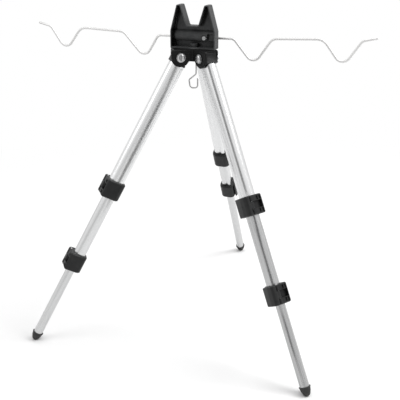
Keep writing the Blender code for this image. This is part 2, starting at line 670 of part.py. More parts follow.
def make_nut():
    """Hexagon nut along X, outside the shorter cheek."""
    start = SLOT_WIDTH / 2 + FAR_CHEEK + GAP
    end = start + NUT_THICKNESS
    outline = arc((0, 0), (BOLT_RADIUS + NUT_WALL) / cos(pi / 6), 0, 300, 5)
    body = prism(outline, eased(-end, -start, 0.4 * MM), "X")
    return combine(body, "DIFFERENCE", rod(BOLT_RADIUS + PIN_GAP, -2 * end, 0, 12, "X"))


def make_clamp_screw(tip):
    """Clamp screw along Y: the tip at +Y, the slotted head outside its seat at the origin."""
    profile = [
        (0, -CLAMP_HEAD_HEIGHT), (CLAMP_HEAD - 0.5 * MM, -CLAMP_HEAD_HEIGHT),
        (CLAMP_HEAD, 0.6 * MM - CLAMP_HEAD_HEIGHT), (CLAMP_HEAD, 0), (CLAMP_RADIUS, 0),
        (CLAMP_RADIUS, tip - 0.3 * MM), (CLAMP_RADIUS - 0.3 * MM, tip), (0, tip),
    ]
    slot = box((-2 * CLAMP_HEAD, -CLAMP_SLOT / 2, -2 * CLAMP_HEAD_HEIGHT),
               (2 * CLAMP_HEAD, CLAMP_SLOT / 2, CLAMP_SLOT - CLAMP_HEAD_HEIGHT))
    screw = combine(turned(profile, 12), "DIFFERENCE", slot)
    screw.transform(Matrix.Rotation(-pi / 2, 4, "X"))
    return screw


def arm_path(side):
    """Centre line of one arm from its shank, with its two dips."""
    corners = [(x * MM, z * MM) for x, z in ARM_CORNERS]
    corners[1] = (corners[1][0] + DIP_SHIFT[side] * MM, corners[1][1])
    radii = [0.0] + [r * MM for r in ARM_BENDS]
    return rounded([(WIRE_START, 0.0)] + corners, radii, closed=False, step=22)


def make_hook():
    """Wire hook below the lowest point of the eye's ring, with its loop closed round the ring."""
    loop_centre = EYE_WIRE + GAP + HOOK_WIRE - HOOK_LOOP
    loop = arc((0, loop_centre), HOOK_LOOP, 300, 20, 10)
    bends = [(HOOK_LOOP, loop_centre)] + [(x * MM, z * MM) for x, z, r in HOOK_BENDS]
    radii = [0.0] + [r * MM for x, z, r in HOOK_BENDS]
    return bent_wire(loop + rounded(bends, radii, closed=False, step=32), HOOK_WIRE, 6)


def make_eye():
    """Eye bolt under the head: ring, flange and shank, about the ring's centre."""
    count, sides = 12, 6
    points, faces = [], []
    for y, z in arc((0, 0), EYE_RING, 0, 360 * (1 - 1 / count), count - 1):
        outward = Vector((y, z)).normalized()
        for k in range(sides):
            a = 2 * pi * k / sides
            reach = outward * EYE_WIRE * cos(a)
            points.append((EYE_WIRE * sin(a), y + reach.x, z + reach.y))
    for i in range(count):
        for k in range(sides):
            j, m = (i + 1) % count, (k + 1) % sides
            faces.append((i * sides + k, j * sides + k, j * sides + m, i * sides + m))
    ring = mesh_of(points, faces)
    seat = RECESS_RISE - EYE_RISE - GAP
    end = PLATE_Z + EYE_BOSS_TOP - EYE_BOSS_ROOF - 2 * GAP - EYE_CENTRE
    flange = EYE_SHANK + EYE_FLANGE
    under = seat - EYE_FLANGE_HEIGHT
    profile = [
        (0, under - 0.6 * MM), (EYE_SHANK - 0.4 * MM, under - 0.6 * MM), (flange, under), (flange, seat),
        (EYE_SHANK, seat), (EYE_SHANK, end - 0.4 * MM), (EYE_SHANK - 0.4 * MM, end), (0, end),
    ]
    return combine(turned(profile, 12), "UNION", ring)


def make_foot():
    """Foot: cup, spigot and rounded tip, cut flat where it stands, about the lower tube's end."""
    inner = LOWER_RADIUS - LOWER_WALL - GAP
    outer = LOWER_RADIUS + GAP
    rim = outer + FOOT_LIP
    profile = [
        (0, FOOT_SPIGOT), (inner - 0.8 * MM, FOOT_SPIGOT), (inner, FOOT_SPIGOT - 1.2 * MM), (inner, -GAP),
        (outer, -GAP), (outer, FOOT_RIM_RISE), (rim, FOOT_RIM_RISE), (rim - 0.5 * MM, FOOT_RIM_RISE - MM),
        (outer + 0.35 * MM, 0.6 * MM), (outer - 0.05 * MM, -1.6 * MM), (outer - 0.75 * MM, -3.4 * MM),
    ]
    profile += arc((0, -FOOT_DROP), FOOT_BALL, -16, -90, 4)
    profile[-1] = (0, profile[-1][1])
    foot = turned(profile, 14)
    size = 4 * FOOT_BALL
    ground = box((-size, -size, -size), (size, size, 0))
    lean = Matrix.Translation((0, 0, -FOOT_DROP)) @ Matrix.Rotation(-SPLAY, 4, "X")
    ground.transform(lean @ Matrix.Translation((0, 0, -FOOT_STAND)))
    return combine(foot, "DIFFERENCE", ground)


def make_bush(flange, spigot):
    """Plastic bush on a tube's top end, about that end."""
    body = prism(flange, [(GAP, 0), (GAP + BUSH_FLANGE, 0)])
    plug = prism(spigot, [(-BUSH_SPIGOT, 0.4 * MM), (2 * GAP, 0)])
    return combine(body, "UNION", plug)


for item in list(bpy.data.objects):
    bpy.data.objects.remove(item)

BLACK = ((0.020, 0.020, 0.022), 0.42, 0.0)
FOOT_BLACK = ((0.016, 0.016, 0.017), 0.62, 0.0)
ALUMINIUM = ((0.72, 0.73, 0.75), 0.32, 1.0)
STEEL = ((0.56, 0.56, 0.58), 0.30, 1.0)
WIRE_STEEL = ((0.66, 0.66, 0.67), 0.34, 1.0)

place("head_base", make_base(), BLACK, at=(0, 0, PIVOT_HEIGHT))
place("ear_plate", make_plate(), BLACK, at=(0, 0, PLATE_Z))
place("eye_bolt", make_eye(), STEEL, at=(0, EYE_Y, EYE_CENTRE))
place("weight_hook", moved(make_hook(), z=-EYE_RING), STEEL, at=(0, EYE_Y, EYE_CENTRE))

for side in ("right", "left"):
    arm = bent_wire(arm_path(side), WIRE_RADIUS, 8)
    if side == "left":
        arm.transform(Matrix.Scale(-1, 4, (1, 0, 0)))
        arm.flip_normals()
    place(f"arm_{side}", arm, WIRE_STEEL, at=(0, WIRE_Y, WIRE_Z))
screw_tip = WIRE_Y - WIRE_RADIUS - FRONT_CLAMP_SEAT
front_screw = make_clamp_screw(screw_tip)
place("clamp_screw_right", front_screw, STEEL, at=(CLAMP_X, FRONT_CLAMP_SEAT - GAP, WIRE_Z))
screw_tip = BACK_CLAMP_SEAT - WIRE_Y - WIRE_RADIUS
back_screw = make_clamp_screw(screw_tip)
place("clamp_screw_left", back_screw, STEEL, at=(-CLAMP_X, BACK_CLAMP_SEAT + GAP, WIRE_Z), turn=pi)


def cam_reach(scale, centre, radius):
    """Distance from the lever's pin to the inner tube, less the gap, and its direction."""
    dx, dy = -PIN_X * scale, centre - PIN_Y * scale
    return hypot(dx, dy) - radius - GAP, atan2(dy, dx)


UPPER_REACH, UPPER_TOWARD = cam_reach(1, MIDDLE_ARC_CENTRE, UPPER_HALF_WIDTH - MIDDLE_INSET)
LOWER_REACH, LOWER_TOWARD = cam_reach(LOWER_COLLAR_SCALE, LOWER_CENTRE, LOWER_RADIUS)
knuckle = make_knuckle()
bolt = make_bolt()
nut = make_nut()
upper_collar = make_collar(1, upper_outline(-GAP), middle_outline(-GAP), UPPER_REACH)
lower_collar = make_collar(LOWER_COLLAR_SCALE, middle_outline(-GAP), lower_outline(-GAP), LOWER_REACH)
upper_lever = make_lever(1, UPPER_REACH, UPPER_TOWARD)
lower_lever = make_lever(LOWER_COLLAR_SCALE, LOWER_REACH, LOWER_TOWARD)
pin_end = COLLAR_LENGTH / 2
pin_top = pin_end + PIN_PROUD
pin_ease = 0.4 * MM
pin_mesh = turned([(0, -pin_end), (PIN_RADIUS, -pin_end), (PIN_RADIUS, pin_top - pin_ease),
                   (PIN_RADIUS - pin_ease, pin_top), (0, pin_top)], 8)
foot = make_foot()
middle_bush = make_bush(upper_outline(UPPER_WALL + GAP), middle_outline(MIDDLE_WALL + GAP))
lower_bush = make_bush(middle_outline(MIDDLE_WALL + GAP), lower_outline(LOWER_WALL + GAP))

for leg, azimuth in LEG_AZIMUTHS.items():
    a = radians(azimuth)
    pivot = (PIVOT_RADIUS * cos(a), PIVOT_RADIUS * sin(a), PIVOT_HEIGHT)
    fork = empty(f"fork_{leg}", pivot, (0, 0, a - pi / 2))
    frame = empty(f"leg_{leg}", pivot, (SPLAY, 0, a - pi / 2))
    flip = pi if leg == "left" else 0.0
    place(f"pivot_bolt_{leg}", bolt, STEEL, fork, turn=flip)
    place(f"pivot_nut_{leg}", nut, STEEL, fork, turn=flip)
    place(f"knuckle_{leg}", knuckle, BLACK, frame)

    upper = sleeve(upper_outline(), upper_outline(UPPER_WALL), -TUBE_LENGTH, 0)
    place(f"upper_tube_{leg}", upper, ALUMINIUM, frame, (0, -LEG_INSET, -UPPER_TOP))
    place(f"upper_collar_{leg}", upper_collar, BLACK, frame, (0, -LEG_INSET, -UPPER_COLLAR_AT))
    pin_at = (PIN_X, PIN_Y - LEG_INSET, -UPPER_COLLAR_AT)
    place(f"upper_lever_{leg}", upper_lever, BLACK, frame, pin_at)
    place(f"upper_pin_{leg}", pin_mesh, STEEL, frame, pin_at)

    collar_at = LOWER_COLLAR_AT[leg]
    middle = sleeve(middle_outline(), middle_outline(MIDDLE_WALL), -TUBE_LENGTH, 0)
    middle_top = (0, -LEG_INSET, TUBE_LENGTH - MIDDLE_END[leg])
    place(f"middle_tube_{leg}", middle, ALUMINIUM, frame, middle_top)
    place(f"middle_bush_{leg}", middle_bush, BLACK, frame, middle_top)
    place(f"lower_collar_{leg}", lower_collar, BLACK, frame, (0, -LEG_INSET, -collar_at))
    pin_at = (PIN_X * LOWER_COLLAR_SCALE, PIN_Y * LOWER_COLLAR_SCALE - LEG_INSET, -collar_at)
    place(f"lower_lever_{leg}", lower_lever, BLACK, frame, pin_at)
    place(f"lower_pin_{leg}", pin_mesh, STEEL, frame, pin_at)

    lower = sleeve(lower_outline(), lower_outline(LOWER_WALL), -TUBE_LENGTH, 0)
    lower_top = (0, -LEG_INSET, TUBE_LENGTH - LOWER_END)
    place(f"lower_tube_{leg}", lower, ALUMINIUM, frame, lower_top)
    place(f"lower_bush_{leg}", lower_bush, BLACK, frame, lower_top)
    place(f"foot_{leg}", foot, FOOT_BLACK, frame, (0, LOWER_CENTRE - LEG_INSET, -LOWER_END))

# The pieces stand round the head's middle so far: the whole moves until its overall box is centred
bpy.context.view_layer.update()
pieces = [item for item in bpy.data.objects if item.type == "MESH"]
reach = [(item.matrix_world @ vertex.co).y for item in pieces for vertex in item.data.vertices]
middle = (min(reach) + max(reach)) / 2
for item in bpy.data.objects:
    if item.parent is None:
        item.location.y -= middle
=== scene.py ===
# %% [markdown]
# # A rod rest on three telescopic legs
# Anglers stand their rods in a rest like this one: a black moulded head with a deep notch, two bent
# wire arms with dips for more rods, and three folding legs of drawn aluminium tube with flip locks.
# The solid parts come from the CAD model, which is loaded here as a fixed frame. This lesson gives
# them their looks: finishes worked out with shader maths, wires bent along curves, soft edges, a
# camera and plain studio light.

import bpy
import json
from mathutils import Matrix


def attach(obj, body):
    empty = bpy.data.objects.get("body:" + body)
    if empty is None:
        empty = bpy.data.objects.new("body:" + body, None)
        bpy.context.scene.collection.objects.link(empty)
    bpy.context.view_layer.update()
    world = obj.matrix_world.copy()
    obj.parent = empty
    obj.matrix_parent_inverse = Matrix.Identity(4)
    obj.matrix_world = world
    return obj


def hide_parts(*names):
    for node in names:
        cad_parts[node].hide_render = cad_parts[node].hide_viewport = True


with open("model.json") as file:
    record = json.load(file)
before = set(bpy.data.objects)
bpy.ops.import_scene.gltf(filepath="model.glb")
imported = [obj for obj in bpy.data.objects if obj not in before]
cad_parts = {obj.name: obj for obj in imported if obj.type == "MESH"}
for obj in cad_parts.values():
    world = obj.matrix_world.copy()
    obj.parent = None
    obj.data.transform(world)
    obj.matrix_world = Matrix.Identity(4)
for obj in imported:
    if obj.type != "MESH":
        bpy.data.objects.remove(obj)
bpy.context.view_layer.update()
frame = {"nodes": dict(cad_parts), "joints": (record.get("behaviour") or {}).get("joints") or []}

# %% [markdown]
# ## Sizes and places
# Everything is in metres, so a small constant turns millimetres into metres. The joints of the CAD
# model say where things turn and slide, and this lesson takes the places of its wires and the
# directions of its legs from them. A second list of the same places, typed in by hand, could drift
# away from the model.

# %% Helpers for sizes and joints
from math import atan2, ceil, cos, degrees, radians, sin, tan
import json
import bpy
from mathutils import Vector

MM = 0.001
LEGS = ("rear", "left", "right")
SECTIONS = ("upper", "middle", "lower")
joints = {joint["name"]: joint for joint in frame["joints"]}


def pivot(name):
    """Where a joint turns."""
    return Vector(joints[name]["pos_m"])


def direction(name):
    """The way a joint points."""
    return Vector(joints[name]["axis"]).normalized()


print("the head's middle lies at y =", round(pivot("arm_turn_right").y, 4))

# %% [markdown]
# ## Shader maths as plain expressions
# A finish such as drawn metal is a small sum: streaks plus stains, each a pattern made stronger or
# weaker. In the node editor that is many little boxes. Here one class wraps an output socket, so
# that `1 - mask * 0.3` adds the Math nodes by itself. The reflected forms, such as the one for a
# plain number minus a socket, are what lets the number stand first.

# %% Sockets that can be added and multiplied
class Signal:
    """An output of a node that works in sums."""

    def __init__(self, nodes, socket):
        self.nodes = nodes
        self.socket = socket

    def maths(self, operation, first, second):
        return self.nodes.node("ShaderNodeMath", {"operation": operation}, {0: first, 1: second})

    def __add__(self, other):
        return self.maths("ADD", self, other)

    __radd__ = __add__

    def __sub__(self, other):
        return self.maths("SUBTRACT", self, other)

    def __rsub__(self, other):
        return self.maths("SUBTRACT", other, self)

    def __mul__(self, other):
        return self.maths("MULTIPLY", self, other)

    __rmul__ = __mul__

    def band(self, low, high):
        """0 below low, 1 above high, and a soft step between."""
        settings = {"interpolation_type": "SMOOTHSTEP"}
        values = {"Value": self, "From Min": low, "From Max": high}
        return self.nodes.node("ShaderNodeMapRange", settings, values)


print("a signal adds, subtracts and multiplies")

# %% [markdown]
# ## One method for every other node
# A second class holds one node tree and adds every other kind of node through one method: it sets
# the node's own settings first and then fills or links its sockets. The patterns that most finishes
# share, such as noise and the mask of walled-in corners, get a short method each. A colour is
# blended in a Mix node, because a Math node would turn it grey.

# %% A node tree that grows one node at a time
class Nodes:
    """A node tree that grows one node at a time."""

    def __init__(self, tree):
        self.tree = tree

    def node(self, kind, settings=None, sockets=None, output=0):
        made = self.tree.nodes.new(kind)
        for key, value in (settings or {}).items():
            setattr(made, key, value)
        for key, value in (sockets or {}).items():
            self.feed(made.inputs[key], value)
        return None if output is None else Signal(self, made.outputs[output])

    def feed(self, socket, value):
        if isinstance(value, Signal):
            self.tree.links.new(value.socket, socket)
        else:
            socket.default_value = value

    def ends_with(self, name, signal):
        """Link a signal to the tree's output, which is called name."""
        self.feed(self.tree.nodes[name].inputs["Surface"], signal)

    def place(self):
        """The point's place on the part as it was modelled, so a pattern moves with its part."""
        return self.node("ShaderNodeTexCoord", output="Object")

    def openness(self, reach, lean=(0.0, 0.0, 0.0)):
        """1 where nothing stands within reach, 0 in a tight corner. It can lean to one side to
        look for walls there."""
        facing = self.node("ShaderNodeNewGeometry", output="Normal")
        leaning = self.node("ShaderNodeVectorMath", {"operation": "ADD"}, {0: facing, 1: lean})
        settings = {"only_local": True, "samples": 8}
        values = {"Distance": reach, "Normal": leaning}
        return self.node("ShaderNodeAmbientOcclusion", settings, values, "AO")

    def noise(self, where, scale, detail=2.0, roughness=0.5):
        values = {"Vector": where, "Scale": scale, "Detail": detail, "Roughness": roughness}
        return self.node("ShaderNodeTexNoise", None, values, "Fac")

    def blend(self, share, first, second):
        """Colour between two others."""
        colours = {0: share, 6: first, 7: second}
        return self.node("ShaderNodeMix", {"data_type": "RGBA"}, colours, 2)

    def bump(self, height, strength, distance):
        values = {"Height": height, "Strength": strength, "Distance": distance}
        return self.node("ShaderNodeBump", None, values)


print("node kinds with a method of their own: noise, blend, bump")

# %% [markdown]
# ## A finish
# A finish is such a tree with a Principled surface at its end. What is the same all over is set on
# the surface's own sockets when the finish is made, and what varies is linked later. Keyword names
# carry an underscore where the socket's name has a space.

# %% One material
class Finish(Nodes):
    """One material, built up from a Principled surface."""

    def __init__(self, name, **constants):
        self.material = bpy.data.materials.new(name)
        self.material.use_nodes = True
        super().__init__(self.material.node_tree)
        self.surface = self.tree.nodes["Principled BSDF"]
        self.surface_gets(**constants)

    def surface_gets(self, **signals):
        for key, signal in signals.items():
            self.feed(self.surface.inputs[key.replace("_", " ")], signal)


def tone(value, warmth=0.0):
    """A grey, with a touch less blue where it is warm."""
    return (value * (1 + warmth), value, value * (1 - warmth), 1.0)


print("shader maths ready")

# %% [markdown]
# ## Black moulded plastic
# The head, the knuckles, the lock bodies and the levers are moulded from black nylon. The mould is
# spark eroded, which leaves a fine even grain and a satin sheen, and the plastic cools a little
# unevenly, so its gloss drifts over a few millimetres. The grain is a bump of a third of a
# millimetre, the drift is a second, larger noise in the roughness, and a faint grey bloom sits in
# the colour. The corners get a painted shade: Ambient Occlusion, which measures how walled in a
# point is, turns the colour nearly black there. The tray of the plate gets a painted shadow along
# its left walls too, where a lean to the left finds a wall close by.

# %% The plastic
GRAIN_SCALE = 2900.0
GRAIN_DEPTH = 0.05 * MM
DRIFT_SCALE = 90.0
CORNER_REACH = 14 * MM
WALL_REACH = 5 * MM
LEFTWARDS = (-1.2, 0.0, 0.0)


def moulded(name, shade, gloss, grain, shine, painted_shadow_side=None):
    """Black plastic of a shade, with painted shade in its corners. Given a side, it also paints a
    shadow beside the walls on that side.
    """
    finish = Finish(name, IOR=1.5, Specular_IOR_Level=shine)
    where = finish.place()
    fine = finish.noise(where, GRAIN_SCALE, 3.0, 0.6)
    drift = finish.noise(where, DRIFT_SCALE, 3.0, 0.55)
    bloom = (drift * 0.7 + fine * 0.3).band(0.35, 0.7)
    worn = finish.blend(bloom, tone(shade, -0.03), tone(shade * 1.5, -0.01))
    # Painted shade: the colour turns nearly black in corners and beside walls on the given side.
    open_air = finish.openness(CORNER_REACH)
    free_of_painted_shade = open_air.band(0.05, 0.4)
    if painted_shadow_side:
        beside = finish.openness(WALL_REACH, painted_shadow_side).band(0.3, 0.7)
        free_of_painted_shade = free_of_painted_shade * beside.maths("MAXIMUM", beside, open_air.band(0.75, 0.95))
    finish.surface_gets(
        # tone(shade * 0.1) is the painted shade.
        Base_Color=finish.blend(free_of_painted_shade, tone(shade * 0.1), worn),
        Roughness=gloss + (drift - 0.5) * 0.22 + (fine - 0.5) * 0.10,
        Normal=finish.bump(fine, grain, GRAIN_DEPTH),
    )
    return finish.material


# The plate's tray gets a painted shadow beside its left walls.
plate_plastic = moulded("plate plastic", shade=0.052, gloss=0.48, grain=0.25, shine=0.14,
                        painted_shadow_side=LEFTWARDS)
# The base's nylon is painted darker than the plate's: a painted shade for the shade it sits in
# under the plate's deck.
base_plastic_painted_dark = moulded("base plastic painted dark", shade=0.007, gloss=0.42, grain=0.25, shine=0.14)
lock_plastic = moulded("lock plastic", shade=0.014, gloss=0.36, grain=0.20, shine=0.20)
lever_plastic = moulded("lever plastic", shade=0.014, gloss=0.30, grain=0.15, shine=0.25)
knuckle_plastic = moulded("knuckle plastic", shade=0.008, gloss=0.42, grain=0.25, shine=0.20)
bush_plastic = moulded("bush plastic", shade=0.010, gloss=0.45, grain=0.15, shine=0.30)
print("plastics:", plate_plastic.name, base_plastic_painted_dark.name, lock_plastic.name, lever_plastic.name)

# %% [markdown]
# ## Rubbery feet
# The feet are a softer, duller plastic that has to grip stone and mud. It scatters light widely and
# picks up a little dust, most of it low down near the ground. The height of the point is a signal
# like any other, so the dust is a soft step of it, broken up by noise.

# %% The foot material
DUST_TOP = 16.0 * MM


def foot_rubber():
    finish = Finish("foot rubber", IOR=1.48)
    where = finish.place()
    height = finish.node("ShaderNodeSeparateXYZ", None, {"Vector": where}, "Z")
    fine = finish.noise(where, 1800.0, 4.0, 0.65)
    patches = finish.noise(where, 240.0, 4.0, 0.6).band(0.4, 0.75)
    dust = (1 - height.band(0.0, DUST_TOP)) * patches
    finish.surface_gets(
        Base_Color=finish.blend(dust * 0.55, tone(0.013), tone(0.060, 0.06)),
        Roughness=0.60 + (fine - 0.5) * 0.2 + dust * 0.15,
        Normal=finish.bump(fine, 0.35, 0.08 * MM),
    )
    return finish.material


rubber = foot_rubber()
print("feet:", rubber.name)

# %% [markdown]
# ## Drawn aluminium tube
# The tubes are drawn through a die and anodised. The die leaves hair-thin lines along the whole
# tube, and the anodising makes the metal pale and satin. Each leg leans another way, so a Mapping
# node of the TEXTURE kind first turns the point into the leg's own directions and then divides by a
# length along each of them: short across the tube and long down it, which pulls round noise out
# into lines. The inner tubes also get faint scuffs where they slide through the locks. They are a
# little darker than the upper tubes in their own tone, and darker still as a painted shade for the
# darker floor they reflect. Those of the right leg get more painted shade, for their darker
# surroundings.

# %% The aluminium, one for each leg and section
LINE_DEPTH = 0.02 * MM
# Painted shade: the right leg's inner tubes are painted darker for the darker surroundings they
# reflect.
INNER_PAINTED_SHADE = {"rear": 1.0, "left": 1.0, "right": 0.74}


def drawn_tube(name, leg, shade, gloss, scuff):
    finish = Finish(name, Metallic=1.0)
    turn = direction(f"middle_slide_{leg}").to_track_quat("Z", "Y").to_euler()

    def along_leg(across, length):
        """The point's place, counted in lengths across the tube and down it."""
        values = {"Vector": finish.place(), "Rotation": turn, "Scale": (across, across, length)}
        return finish.node("ShaderNodeMapping", {"vector_type": "TEXTURE"}, values)

    lines = finish.noise(along_leg(0.55 * MM, 60 * MM), 1.0, 3.0, 0.6)
    hair = finish.noise(along_leg(0.16 * MM, 35 * MM), 1.0, 2.0, 0.5)
    cloud = finish.noise(along_leg(9 * MM, 30 * MM), 1.0, 3.0, 0.5)
    rub = finish.noise(along_leg(1.3 * MM, 22 * MM), 1.0, 4.0, 0.7).band(0.55, 0.72) * scuff
    streaks = lines * 0.6 + hair * 0.4
    pale = streaks.band(0.3, 0.7) * 0.7 + cloud * 0.3
    finish.surface_gets(
        Base_Color=finish.blend(pale, tone(shade * 0.90, -0.01), tone(shade)),
        Roughness=gloss + (streaks - 0.5) * 0.25 + (cloud - 0.5) * 0.08 + rub * 0.12,
        Normal=finish.bump(streaks, 0.12, LINE_DEPTH),
    )
    return finish.material


tube_metal = {}
for leg in LEGS:
    inner = INNER_PAINTED_SHADE[leg]
    # The middle and lower shades are a little darker in their own tone, and darker still as painted
    # shade for the floor they reflect.
    looks = ((0.78, 0.24, 0.0), (0.69 * inner, 0.24, 1.0), (0.63 * inner, 0.26, 1.0))
    for section, (shade, gloss, scuff) in zip(SECTIONS, looks):
        tube_metal[section, leg] = drawn_tube(f"{section} tube {leg}", leg, shade, gloss, scuff)
print("tube finishes:", len(tube_metal))

# %% [markdown]
# ## Plated steel
# The bolts, nuts, pins and screws are zinc plated. Bright zinc shows a faint mottle, like frost,
# where its crystals catch the light in their own ways. A Voronoi pattern gives every crystal cell
# its own value, which shifts both colour and gloss a little. The wire of the arms and the hook is
# drawn and nickel plated, which is smoother, so it only gets soft clouds.

# %% The two plated metals
CRYSTAL_SCALE = 1400.0
PLATING_DEPTH = 0.02 * MM


def zinc(name, shade, gloss):
    finish = Finish(name, Metallic=1.0)
    where = finish.place()
    values = {"Vector": where, "Scale": CRYSTAL_SCALE}
    cells = finish.node("ShaderNodeTexVoronoi", None, values, "Color")
    frost = finish.node("ShaderNodeSeparateColor", None, {"Color": cells}, "Red")
    fine = finish.noise(where, 5200.0, 2.0, 0.5)
    finish.surface_gets(
        Base_Color=finish.blend(frost, tone(shade * 0.94, -0.02), tone(shade, 0.01)),
        Roughness=gloss + (frost - 0.5) * 0.06 + (fine - 0.5) * 0.06,
        Normal=finish.bump(fine, 0.06, PLATING_DEPTH),
    )
    return finish.material


def nickel(name, shade, gloss):
    finish = Finish(name, Metallic=1.0)
    where = finish.place()
    cloud = finish.noise(where, 160.0, 3.0, 0.6)
    fine = finish.noise(where, 3600.0, 3.0, 0.6)
    finish.surface_gets(
        Base_Color=finish.blend(cloud, tone(shade * 0.93), tone(shade, 0.01)),
        Roughness=gloss + (cloud - 0.5) * 0.10 + (fine - 0.5) * 0.08,
        Normal=finish.bump(fine, 0.06, PLATING_DEPTH),
    )
    return finish.material


bright_zinc = zinc("bright zinc", shade=0.50, gloss=0.30)
arm_nickel = nickel("arm nickel", shade=0.67, gloss=0.50)
hook_nickel = nickel("hook nickel", shade=0.44, gloss=0.30)
print("plated:", bright_zinc.name, arm_nickel.name, hook_nickel.name)

# %% [markdown]
# ## Which part wears which finish
# Part names start with what the part is, so a table of beginnings is enough. A CAD object keeps its
# mesh and its place. Only what sits in its material slot changes.

# %% Hand out the finishes
BY_NAME = (
    ("head_base", base_plastic_painted_dark), ("ear_plate", plate_plastic), ("knuckle", knuckle_plastic),
    ("upper_collar", lock_plastic), ("lower_collar", lock_plastic),
    ("upper_lever", lever_plastic), ("lower_lever", lever_plastic),
    ("middle_bush", bush_plastic), ("lower_bush", bush_plastic), ("foot", rubber),
    ("pivot_bolt", bright_zinc), ("pivot_nut", bright_zinc), ("upper_pin", bright_zinc),
    ("lower_pin", bright_zinc), ("clamp_screw", bright_zinc), ("eye_bolt", bright_zinc),
    ("arm_", arm_nickel), ("weight_hook", hook_nickel),
)


def finish_for(name):
    """The finish of a part, from the beginning of its name."""
    for section in SECTIONS:
        if name.startswith(f"{section}_tube"):
            return tube_metal[section, name.split("_")[-1]]
    return next(material for start, material in BY_NAME if name.startswith(start))


for name, part in frame["nodes"].items():
    part.data.materials.clear()
    part.data.materials.append(finish_for(name))
print("parts with a finish:", len(frame["nodes"]))

# %% [markdown]
# ## Smooth rounds
# A CAD model keeps its rounds as flat facets, and polished metal shows every one of them. A small
# node group mends that for each part: it joins the points that the file format split, forgets the
# stored flat shading, and shades all faces as one smooth skin, except across edges that bend too
# far to belong to a round.

# %% Shade the rounds smoothly
SHARP = 40
SPLIT_POINTS = 0.002 * MM


def smooth_skin(name, sharpest):
    """A node group that shades a mesh smoothly, but keeps edges that bend more than sharpest."""
    group = bpy.data.node_groups.new(name, "GeometryNodeTree")
    for way in ("INPUT", "OUTPUT"):
        group.interface.new_socket("Mesh", in_out=way, socket_type="NodeSocketGeometry")
    nodes = Nodes(group)
    mesh = nodes.node("NodeGroupInput")
    stored = {"Geometry": mesh, "Name": "custom_normal"}
    mesh = nodes.node("GeometryNodeRemoveAttribute", None, stored)
    split = {"Geometry": mesh, "Distance": SPLIT_POINTS}
    mesh = nodes.node("GeometryNodeMergeByDistance", None, split)
    bend = nodes.node("GeometryNodeInputMeshEdgeAngle", output="Unsigned Angle")
    round_edge = bend.maths("LESS_THAN", bend, radians(sharpest))
    mesh = nodes.node("GeometryNodeSetShadeSmooth", {"domain": "EDGE"}, {0: mesh, 2: round_edge})
    mesh = nodes.node("GeometryNodeSetShadeSmooth", {"domain": "FACE"}, {0: mesh, 2: True})
    nodes.node("NodeGroupOutput", None, {"Mesh": mesh}, None)
    return group


skin = smooth_skin("smooth skin", SHARP)
whole_skin = smooth_skin("smooth skin without edges", 180)
print("node groups:", skin.name, "and", whole_skin.name)

# %% [markdown]
# ## Soft edges
# A mould can't make a knife edge: every corner of a moulding is rounded by a fraction of a
# millimetre, and that thin round is what catches the light. Rounding it in the CAD model would cost
# many facets, so it is added here. Bevel cuts the sharp edges and Weighted Normal keeps the big
# faces flat between them. The metal parts keep their edges and only get the smooth skin, apart from
# the nuts, whose corners are rounded too.

# %% Round the moulded edges
SOFT_EDGES = {
    "head_base": 0.35, "ear_plate": 0.30, "knuckle": 0.30,
    "upper_collar": 0.30, "lower_collar": 0.28, "upper_lever": 0.30, "lower_lever": 0.28,
    "pivot_nut": 0.20, "foot": 0.15,
}


def soften(part, width):
    bevel = part.modifiers.new("soft edges", "BEVEL")
    bevel.width = width * MM
    bevel.segments = 2
    bevel.limit_method = "ANGLE"
    bevel.angle_limit = radians(SHARP)
    normals = part.modifiers.new("even shading", "WEIGHTED_NORMAL")
    normals.keep_sharp = False


softened = 0
for name, part in frame["nodes"].items():
    width = next((width for start, width in SOFT_EDGES.items() if name.startswith(start)), None)
    part.modifiers.new("smooth skin", "NODES").node_group = whole_skin if width else skin
    if width:
        soften(part, width)
        softened += 1
print("parts with soft edges:", softened, "of", len(frame["nodes"]))

# %% [markdown]
# ## Bent wire
# The arms and the hook are bent from round wire. A wire keeps its thickness round a bend, and each
# bend has the radius of the pin that it was bent on. So the path is a line of corners, and each
# corner is replaced by an arc that touches both straight runs.

# %% A path with round corners
def bent_line(corners, radii, step=6.0):
    """Corners joined by straight runs, with an arc in place of each inner corner."""
    points = [Vector(corners[0])]
    for before, corner, after, radius in zip(corners, corners[1:], corners[2:], radii):
        here = Vector(corner)
        back = (Vector(before) - here).normalized()
        ahead = (Vector(after) - here).normalized()
        half = back.angle(ahead) / 2
        centre = here + (back + ahead).normalized() * (radius / sin(half))
        first = here + back * (radius / tan(half)) - centre
        last = here + ahead * (radius / tan(half)) - centre
        turn = atan2(first.x * last.y - first.y * last.x, first.dot(last))
        steps = max(1, ceil(abs(degrees(turn)) / step))
        for k in range(steps + 1):
            a = turn * k / steps
            turned = (first.x * cos(a) - first.y * sin(a), first.x * sin(a) + first.y * cos(a))
            points.append(centre + Vector(turned))
    points.append(Vector(corners[-1]))
    return points


print("points of a right angle:", len(bent_line(((0, 0), (1, 0), (1, 1)), (0.2,))))

# %% [markdown]
# ## Wire along the path
# A curve with a round bevel follows the path. The last points are thinner, because a cut wire end
# is deburred. A second point stands close to each end, so that only the very tip gets thinner. Both
# the tip's length and its thickness are shares of the wire's radius.

# %% A wire along a path
TIP_LENGTH = 0.4
TIP_RADIUS = 0.6


